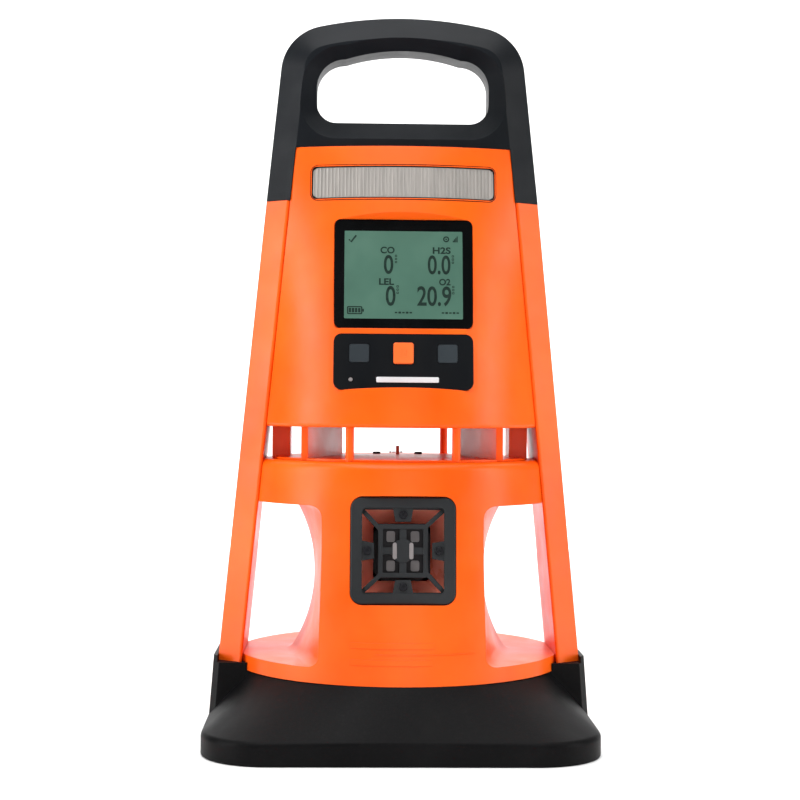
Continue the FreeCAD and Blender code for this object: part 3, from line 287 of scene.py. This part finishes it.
# Pale grey: the status lamp's own colour, and also the painted light seen through the horn guard and the
# painted highlights on the hub.
PALE_GREY_AND_PAINTED_LIGHT = moulded("lamp_grey_and_painted_light", srgb(112, 108, 108), srgb(128, 122, 122), srgb(144, 138, 138), 0.5)
DIAPHRAGM = moulded("diaphragm", srgb(30, 28, 30), srgb(40, 37, 39), srgb(54, 50, 52), 0.55)
PRINT = moulded("pale_print", srgb(196, 198, 200), srgb(214, 216, 218), srgb(226, 228, 230), 0.5)
RUBBER = rubber("boot_rubber", srgb(7, 7, 8), srgb(12, 12, 13), srgb(22, 22, 22), 0.46)
SEAL = rubber("seal_rubber", srgb(8, 8, 8), srgb(14, 14, 14), srgb(26, 26, 26), 0.6)
OVERLAY = glossy_black("overlay_film", srgb(8, 11, 15), 0.34)
WINDOW = glossy_black("window_black", srgb(5, 6, 6), 0.12)
LCD = lcd_glass()
INK = lcd_ink()
LENS = ribbed_lens()
SCREW = metal("screw_black", srgb(22, 22, 24), srgb(50, 50, 53), 0.36)
STEEL = metal("plain_steel", srgb(150, 150, 154), srgb(190, 190, 194), 0.32)
STEEL_DULL = metal("dull_plate", srgb(120, 122, 126), srgb(160, 162, 166), 0.45)
SENSOR = metal("sensor_cap", srgb(120, 120, 124), srgb(170, 170, 174), 0.4)
BOARD = board_green()

NODE_FINISH = {
    "orange_plastic": ORANGE,
    "charcoal_plastic": CHARCOAL,
    "boot_rubber": RUBBER,
    "ballast_steel": STEEL,
    "screw_steel": SCREW,
    "window_glass": WINDOW,
    "gasket_rubber": SEAL,
    "lcd": INNER,
    "overlay_black": OVERLAY,
    "key_grey": KEY_GREY,
    "key_orange": KEY_ORANGE,
    "beacon_lens": LENS,
    "horn_black": BLACK,
    # painted light: the funnel takes the lightened orange with its painted highlight
    "horn_orange": FUNNEL_PAINTED_LIGHT,
    "driver_metal": INNER,
    "sensor_metal": SENSOR,
    "circuit_board": BOARD,
    "inner_plastic": INNER,
    "battery_cells": INNER,
    "status_lamp": PALE_GREY_AND_PAINTED_LIGHT,
    "socket_black": BLACK,
    "cap_rubber": SEAL,
    "pin_steel": STEEL,
}


def finish_nodes():
    """Each CAD node takes the material of its slot."""
    for part in frame["record"]["subparts"]:
        node = NODES[part["node"]]
        node.data.materials.clear()
        node.data.materials.append(NODE_FINISH[part["material_slot"]])


# ---------------------------------------------------------------- mesh helpers


def plane_frame(node, tilt, thickness, side=FRONT):
    """Matrix at the middle of a leaning plate's outer face: X right, Y up the face, Z outwards."""
    low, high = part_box(node)
    angle = math.radians(tilt)
    out = Vector((0, side * math.cos(angle), math.sin(angle)))
    right = Vector((-side, 0, 0))
    up = out.cross(right)
    middle = (low + high) / 2 + out * (thickness * MM / 2)
    turn = Matrix((right, up, out)).transposed().to_4x4()
    return Matrix.Translation(middle) @ turn


def add_piece(name, mesh, material, matrix=None, body=HOUSING):
    """Puts a mesh, made in millimetres, into the scene and lets it ride on a body."""
    piece = bpy.data.objects.new(name, mesh)
    bpy.context.scene.collection.objects.link(piece)
    mesh.transform(Matrix.Scale(MM, 4))
    if matrix is not None:
        mesh.transform(matrix)
    mesh.materials.clear()
    mesh.materials.append(material)
    for face in mesh.polygons:
        face.use_smooth = False
    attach(piece, body)
    return piece


def mesh_of(build):
    """Runs build on an empty bmesh and returns the finished mesh."""
    work = bmesh.new()
    build(work)
    bmesh.ops.recalc_face_normals(work, faces=work.faces)
    mesh = bpy.data.meshes.new("piece")
    work.to_mesh(mesh)
    work.free()
    return mesh


def add_prism(work, outline, low, high):
    """Closed prism over a flat outline of (x, y) points."""
    bottom = [work.verts.new((x, y, low)) for x, y in outline]
    top = [work.verts.new((x, y, high)) for x, y in outline]
    work.faces.new(top)
    work.faces.new(bottom[::-1])
    join_loops(work, bottom, top)


def rounded(width, height, radius, cx=0.0, cy=0.0):
    """Outline of a rounded rectangle, anticlockwise from the middle of its right side."""
    points = []
    corners = ((1, 1), (-1, 1), (-1, -1), (1, -1))
    for turn, (sx, sy) in enumerate(corners):
        x, y = sx * (width / 2 - radius), sy * (height / 2 - radius)
        for step in range(CORNER_STEPS + 1):
            angle = math.pi / 2 * (turn + step / CORNER_STEPS)
            points.append((cx + x + radius * math.cos(angle), cy + y + radius * math.sin(angle)))
    return points


def join_loops(work, first, second):
    """Faces between two closed loops that have the same number of vertices."""
    for i in range(len(first)):
        j = (i + 1) % len(first)
        work.faces.new((first[i], first[j], second[j], second[i]))


def add_ring(work, loops):
    """Closed ring whose cross-section runs through the loops of points and back to the first."""
    made = [[work.verts.new(point) for point in loop] for loop in loops]
    for first, second in zip(made, made[1:] + made[:1]):
        join_loops(work, first, second)


def add_frame(work, outer, inner, low, high):
    """Flat closed ring between two outlines that have the same number of points."""
    sections = ((outer, low), (outer, high), (inner, high), (inner, low))
    add_ring(work, [[(x, y, level) for x, y in outline] for outline, level in sections])


def add_ribbon(work, points, width, low, high):
    """Flat stroke of even width along (x, y) points."""
    left, right = [], []
    for index, point in enumerate(points):
        before = Vector(points[max(index - 1, 0)])
        after = Vector(points[min(index + 1, len(points) - 1)])
        along = (after - before).normalized()
        across = Vector((-along.y, along.x)) * width / 2
        left.append(Vector(point) + across)
        right.append(Vector(point) - across)
    add_prism(work, [tuple(p) for p in left + right[::-1]], low, high)


# ---------------------------------------------------------------- display

DISPLAY = plane_frame("display_window", PANEL_TILT, WINDOW_THICKNESS)
KEYPAD = plane_frame("keypad_overlay", PANEL_TILT, OVERLAY_THICKNESS)
INK_LOW, INK_HIGH = 0.06, 0.1


def on_lcd(across, down):
    """Point of the display, from shares of the visible glass across from the left and down from the top."""
    return (across - 0.5) * LCD_WIDTH, (0.5 - down) * LCD_HEIGHT + LCD_SHIFT


def plate_mesh(outline, low, high):
    return mesh_of(lambda work: add_prism(work, outline, low, high))


def build_lcd():
    outline = rounded(LCD_WIDTH, LCD_HEIGHT, LCD_CORNER, 0, LCD_SHIFT)
    add_piece("lcd_face", plate_mesh(outline, -0.3, 0.05), LCD, DISPLAY)


def add_reading(name, words, left, right, top, bottom):
    """A generic figure or gas symbol, fitted to shares of the visible glass."""
    text = bpy.data.curves.new(name, "FONT")
    text.body = words
    text.extrude = 0.02
    text.offset = 0.016 if words[0].isdigit() else 0.032
    writer = bpy.data.objects.new(name, text)
    bpy.context.scene.collection.objects.link(writer)
    bpy.context.view_layer.update()
    graph = bpy.context.evaluated_depsgraph_get()
    mesh = bpy.data.meshes.new_from_object(writer.evaluated_get(graph))
    bpy.data.objects.remove(writer)
    low = Vector(min(v.co[i] for v in mesh.vertices) for i in range(3))
    high = Vector(max(v.co[i] for v in mesh.vertices) for i in range(3))
    x0, y0 = on_lcd(left, bottom)
    x1, y1 = on_lcd(right, top)
    size = (x1 - x0, y1 - y0, INK_HIGH - INK_LOW)
    for vertex in mesh.vertices:
        share = [(vertex.co[i] - low[i]) / (high[i] - low[i]) for i in range(3)]
        vertex.co = Vector((x0 + share[0] * size[0], y0 + share[1] * size[1], INK_LOW + share[2] * size[2]))
    add_piece(name, mesh, INK, DISPLAY)


READINGS = (
    ("reading_label_1", "CO", 0.304, 0.424, 0.180, 0.258),
    ("reading_label_2", "H2S", 0.747, 0.900, 0.180, 0.258),
    ("reading_label_3", "LEL", 0.293, 0.420, 0.542, 0.618),
    ("reading_label_4", "O2", 0.800, 0.897, 0.542, 0.618),
    ("reading_value_1", "0", 0.333, 0.413, 0.274, 0.493),
    ("reading_value_2", "0.0", 0.705, 0.897, 0.274, 0.493),
    ("reading_value_3", "0", 0.350, 0.432, 0.628, 0.855),
    ("reading_value_4", "20.9", 0.615, 0.903, 0.628, 0.855),
)
UNIT_SPOTS = ((0.436, 0.32), (0.918, 0.32), (0.450, 0.67), (0.920, 0.67))


def add_icons(work):
    """Tick, signal triangle, sounder disc, battery, and short bars in place of small print."""
    tick = [on_lcd(0.038, 0.098), on_lcd(0.055, 0.128), on_lcd(0.098, 0.052)]
    add_ribbon(work, tick, 1.3, INK_LOW, INK_HIGH)
    for step in range(4):
        x, y = on_lcd(0.918 + step * 0.011, 0.122)
        tall = 1.4 + step * 1.1
        add_prism(work, [(x, y), (x + 0.8, y), (x + 0.8, y + tall), (x, y + tall)], INK_LOW, INK_HIGH)
    cx, cy = on_lcd(0.862, 0.088)
    add_frame(work, rounded(4.6, 4.6, 2.2, cx, cy), rounded(2.6, 2.6, 1.2, cx, cy), INK_LOW, INK_HIGH)
    add_prism(work, rounded(1.2, 1.2, 0.5, cx, cy), INK_LOW, INK_HIGH)
    cx, cy = on_lcd(0.089, 0.907)
    add_frame(work, rounded(11.4, 6.2, 1.0, cx, cy), rounded(9.6, 4.4, 0.5, cx, cy), INK_LOW, INK_HIGH)
    add_prism(work, rounded(1.0, 2.4, 0.3, cx + 6.3, cy), INK_LOW, INK_HIGH)
    for cell in range(4):
        add_prism(work, rounded(1.8, 3.4, 0.2, cx - 3.5 + cell * 2.3, cy), INK_LOW, INK_HIGH)
    for start, count in ((0.425, 5), (0.820, 5)):
        for step in range(count):
            x, y = on_lcd(start + step * 0.031 + 0.012, 0.93)
            add_prism(work, rounded(2.0, 1.1 + 0.4 * (step % 2), 0.3, x, y), INK_LOW, INK_HIGH)
    for across, down in UNIT_SPOTS:
        for step in range(3):
            x, y = on_lcd(across, down - 0.036 + step * 0.036)
            add_frame(work, rounded(1.7, 1.7, 0.5, x, y), rounded(0.8, 0.8, 0.3, x, y), INK_LOW, INK_HIGH)


def build_display():
    build_lcd()
    for reading in READINGS:
        add_reading(*reading)
    add_piece("lcd_icons", mesh_of(add_icons), INK, DISPLAY)


# ---------------------------------------------------------------- keypad, horn, beacons and rear


def build_keypad_details():
    """Two raised marks on the power key, a blank name bar and the light's ring."""

    def marks(work):
        for x in (-1.6, 1.6):
            add_prism(work, rounded(0.9, 6.0, 0.4, x, KEY_RISE), 1.3, 1.62)

    add_piece("power_key_marks", mesh_of(marks), KEY_ORANGE, KEYPAD, "button_power")
    bar = plate_mesh(rounded(46, 4.2, 1.0, *NAME_BAR_SPOT), -0.1, 0.12)
    add_piece("blank_name_bar", bar, PRINT, KEYPAD)
    outer = rounded(4.4, 4.4, 2.2, *LIGHT_SPOT)
    inner = rounded(3.2, 3.2, 1.6, *LIGHT_SPOT)
    ring = mesh_of(lambda work: add_frame(work, outer, inner, -0.1, 0.1))
    add_piece("status_light_ring", ring, SEAL, KEYPAD)


HORN = plane_frame("front_horn_bezel", HORN_TILT, BEZEL_THICKNESS)
# Places of the pale patches of painted light behind the horn guard.
HORN_LIGHT_SPOTS = ((-8.8, 10.6), (8.8, 10.6), (-8.8, -10.6), (8.8, -10.6))


def build_horn_details():
    """Diaphragm behind the middle of the guard, pale grey patches on it painted as light seen through the
    guard, and two pale cheeks beside the hub painted as highlights on its round sides.
    """
    plate = plate_mesh(rounded(33, 35, 3), -9.4, -8.6)
    add_piece("horn_diaphragm", plate, DIAPHRAGM, HORN)

    def patches(work):
        # painted light: pale patches where light shows through the guard
        for x, y in HORN_LIGHT_SPOTS:
            add_prism(work, rounded(6.4, 8.0, 1.6, x, y), -8.7, -8.2)
        # painted highlights: pale cheeks for the lit round sides of the hub
        for x in (-6.0, 6.0):
            add_prism(work, rounded(3.0, 12.0, 1.4, x, 0), -3.0, -2.35)

    add_piece("horn_painted_light_patches", mesh_of(patches), PALE_GREY_AND_PAINTED_LIGHT, HORN)


def tree_of(*names):
    """Search tree over the world-space faces of some nodes."""
    points, faces = [], []
    for name in names:
        node = NODES[name]
        start = len(points)
        points += [node.matrix_world @ v.co for v in node.data.vertices]
        faces += [[start + i for i in face.vertices] for face in node.data.polygons]
    return BVHTree.FromPolygons(points, faces)


def surface_y(tree, x, z, side):
    """Depth (mm) of the outermost surface at (x, z), seen from the FRONT or the REAR."""
    outside = Vector((x, side * 400, z)) * MM
    hit = tree.ray_cast(outside, Vector((0, -side, 0)))[0]
    return hit.y / MM


def on_surface(tree, side, x, z, lift):
    """Point at (x, z), lifted outwards off the surface."""
    return (x, surface_y(tree, x, z, side) + side * lift, z)


def strip_rows(work, rows):
    """Closed strip through cross-sections that have the same number of points."""
    made = [[work.verts.new(point) for point in row] for row in rows]
    for first, second in zip(made, made[1:]):
        join_loops(work, first, second)
    work.faces.new(made[0])
    work.faces.new(made[-1][::-1])


def add_lens_ribs(work, tree, side):
    """Upright ribs that follow the lens."""
    half = BEACON_HEIGHT / 2 - 1.5
    steps = 6
    for index in range(BEACON_RIBS):
        x = (index - (BEACON_RIBS - 1) / 2) * RIB_PITCH
        rows = []
        for step in range(steps + 1):
            z = BEACON_LEVEL - half + 2 * half * step / steps
            y = surface_y(tree, x, z, side)
            foot, crest = y - side * 0.3, y + side * 0.42
            rows.append([(x - 1.0, foot, z), (x + 1.0, foot, z), (x, crest, z)])
        strip_rows(work, rows)


def add_draped_ring(work, tree, side, outer, inner):
    """Closed ring between two upright outlines, laid on the surface."""
    sunk, proud = -0.6, 0.25
    loops = []
    for outline, lift in ((outer, sunk), (outer, proud), (inner, proud), (inner, sunk)):
        loops.append([on_surface(tree, side, x, z, lift) for x, z in outline])
    add_ring(work, loops)


def add_draped_panel(work, tree, side, x0, x1, z0, z1):
    """Thin upright sheet laid on the surface."""
    sunk, proud, steps = -0.4, 0.35, 12
    rows = []
    for step in range(steps + 1):
        x = x0 + (x1 - x0) * step / steps
        corners = ((z0, sunk), (z0, proud), (z1, proud), (z1, sunk))
        rows.append([on_surface(tree, side, x, z, lift) for z, lift in corners])
    strip_rows(work, rows)


def subdivided(outline):
    """The rounded outline with the straight side after each corner divided evenly."""
    points = []
    for index, first in enumerate(outline):
        second = outline[(index + 1) % len(outline)]
        parts = SIDE_PIECES if index % (CORNER_STEPS + 1) == CORNER_STEPS else 1
        for i in range(parts):
            points.append(tuple(a + (b - a) * i / parts for a, b in zip(first, second)))
    return points


def beacon_outline(wider, taller, corner):
    """Outline of a lens, grown by the given amounts, as (x, z) points."""
    return rounded(BEACON_WIDTH + wider, BEACON_HEIGHT + taller, corner, 0, BEACON_LEVEL)


def build_beacons():
    """Ribs over each lens and a dark seal around it."""
    for side, label in ((FRONT, "front"), (REAR, "rear")):
        lens = tree_of(f"{label}_beacon_lens")
        ribs = mesh_of(lambda work: add_lens_ribs(work, lens, side))
        add_piece(f"{label}_lens_ribs", ribs, LENS)
        around = tree_of(f"upper_{label}_casing", f"{label}_beacon_lens")
        outer = subdivided(beacon_outline(2.4, 2.6, 6.0))
        inner = subdivided(beacon_outline(-1.8, -1.6, 4.6))
        seal = mesh_of(lambda work: add_draped_ring(work, around, side, outer, inner))
        add_piece(f"{label}_lens_seal", seal, SEAL)


DOOR = plane_frame("battery_door", HORN_TILT, DOOR_THICKNESS, REAR)


RATING_PLATE = (-34, 34, 300, 344)  # left, right, bottom and top


def build_rear():
    """Grip ribs on the battery door and a blank rating plate above the slot."""

    def ribs(work):
        for step in range(6):
            add_prism(work, rounded(44, 2.4, 1.0, 0, -22 + step * 5), -0.3, 0.9)

    add_piece("door_grip_ribs", mesh_of(ribs), ORANGE, DOOR)
    tree = tree_of("upper_rear_casing")
    plate = mesh_of(lambda work: add_draped_panel(work, tree, REAR, *RATING_PLATE))
    add_piece("blank_rating_plate", plate, STEEL_DULL)


# Left, right, bottom and top of each plain bar and of the rule between them.
BLANK_BARS = ((-38, 23, 78.6, 82.8), (-38, 21, 66.6, 70.8), (-20, 52, 74.2, 75.0))


def build_blank_bars():
    """Plain raised bars and a rule low on the column."""
    tree = tree_of("lower_front_casing")

    def bars(work):
        for bar in BLANK_BARS:
            add_draped_panel(work, tree, FRONT, *bar)

    add_piece("blank_raised_bars", mesh_of(bars), ORANGE)


finish_nodes()
build_display()
build_keypad_details()
build_horn_details()
build_beacons()
build_rear()
build_blank_bars()

# ---------------------------------------------------------------- stage, light and camera


def floor_mesh(work):
    """Floor that bends up into a backdrop well behind the object."""
    half, front, bend, radius, top = 6000.0, -5000.0, 2600.0, 1400.0, 5200.0
    steps = 12
    profile = [(front, 0.0)]
    for step in range(steps + 1):
        angle = math.pi / 2 * step / steps
        profile.append((bend + radius * math.sin(angle), radius * (1 - math.cos(angle))))
    profile.append((bend + radius, top))
    rows = [[work.verts.new((x, y, z)) for y, z in profile] for x in (-half, half)]
    for i in range(len(profile) - 1):
        work.faces.new((rows[0][i], rows[1][i], rows[1][i + 1], rows[0][i + 1]))


def build_stage():
    """Plain pale floor and backdrop."""
    finish = Finish("stage_white", Roughness=0.9)
    greys = (0.3, (0.86, 0.86, 0.86, 1)), (0.7, (0.88, 0.88, 0.88, 1))
    finish.colour(finish.ramp(finish.noise(2, 2), *greys))
    mesh = mesh_of(floor_mesh)
    mesh.transform(Matrix.Scale(MM, 4))
    mesh.materials.append(finish.data)
    for face in mesh.polygons:
        face.use_smooth = True
    floor = bpy.data.objects.new("floor", mesh)
    bpy.context.scene.collection.objects.link(floor)


def add_light(name, azimuth, elevation, distance, width, height, power, backwards=None):
    """White soft box around the object's middle; azimuth 0 is in front, positive to the right.

    It faces the object, or away from the direction backwards.
    """
    data = bpy.data.lights.new(name, "AREA")
    data.shape = "RECTANGLE"
    data.size, data.size_y = width, height
    data.energy = power
    light = bpy.data.objects.new(name, data)
    bpy.context.scene.collection.objects.link(light)
    a, e = math.radians(azimuth), math.radians(elevation)
    away = Vector((math.sin(a) * math.cos(e), -math.cos(a) * math.cos(e), math.sin(e)))
    light.location = Vector((0, 0, LIT_HEIGHT)) + away * distance
    light.rotation_mode = "QUATERNION"
    behind = away if backwards is None else backwards
    light.rotation_quaternion = behind.to_track_quat("Z", "Y")
    light.visible_camera = False


LIT_HEIGHT = 0.28  # metres
SOFT_BOXES = (
    # name, azimuth, elevation, distance, width, height, power
    ("left_strip", -72, 10, 2.3, 0.7, 2.2, 42),
    ("right_strip", 72, 10, 2.3, 0.7, 2.2, 30),
    ("front_key", -10, 56, 2.6, 1.8, 1.0, 26),
    ("top_soft", 0, 86, 2.2, 2.4, 2.4, 52),
    ("front_fill", 4, 6, 2.6, 1.0, 1.0, 7),
)


def build_lights():
    """Soft boxes on the object, two more on the backdrop and the far floor, and a faint even sky."""
    world = bpy.data.worlds.new("studio")
    world.use_nodes = True
    sky = world.node_tree.nodes["Background"]
    sky.inputs["Color"].default_value = (1, 1, 1, 1)
    sky.inputs["Strength"].default_value = 0.12
    bpy.context.scene.world = world
    for box in SOFT_BOXES:
        add_light(*box)
    add_light("backdrop_wash", 180, 0, 1.6, 5.0, 2.4, 85, Vector((0, -1, 0.1)))
    add_light("far_floor", 180, 45, 3.4, 5.0, 3.0, 110, Vector((0, 0, 1)))


def build_camera():
    """Level camera a little below the keypad, slightly left of the middle and barely rolled."""
    azimuth, roll = math.radians(-1.7), math.radians(0.45)
    distance, height = 1.340, 0.2564
    data = bpy.data.cameras.new("camera")
    data.sensor_width = 36.0
    data.lens = 77.2
    camera = bpy.data.objects.new("camera", data)
    bpy.context.scene.collection.objects.link(camera)
    spot = Vector((math.sin(azimuth) * distance, -math.cos(azimuth) * distance, height))
    turn = Matrix.Rotation(azimuth, 4, "Z") @ Matrix.Rotation(math.pi / 2, 4, "X")
    camera.matrix_world = Matrix.Translation(spot) @ turn @ Matrix.Rotation(roll, 4, "Z")
    bpy.context.scene.camera = camera


build_stage()
build_lights()
build_camera()
bpy.context.scene.view_settings.view_transform = "Standard"
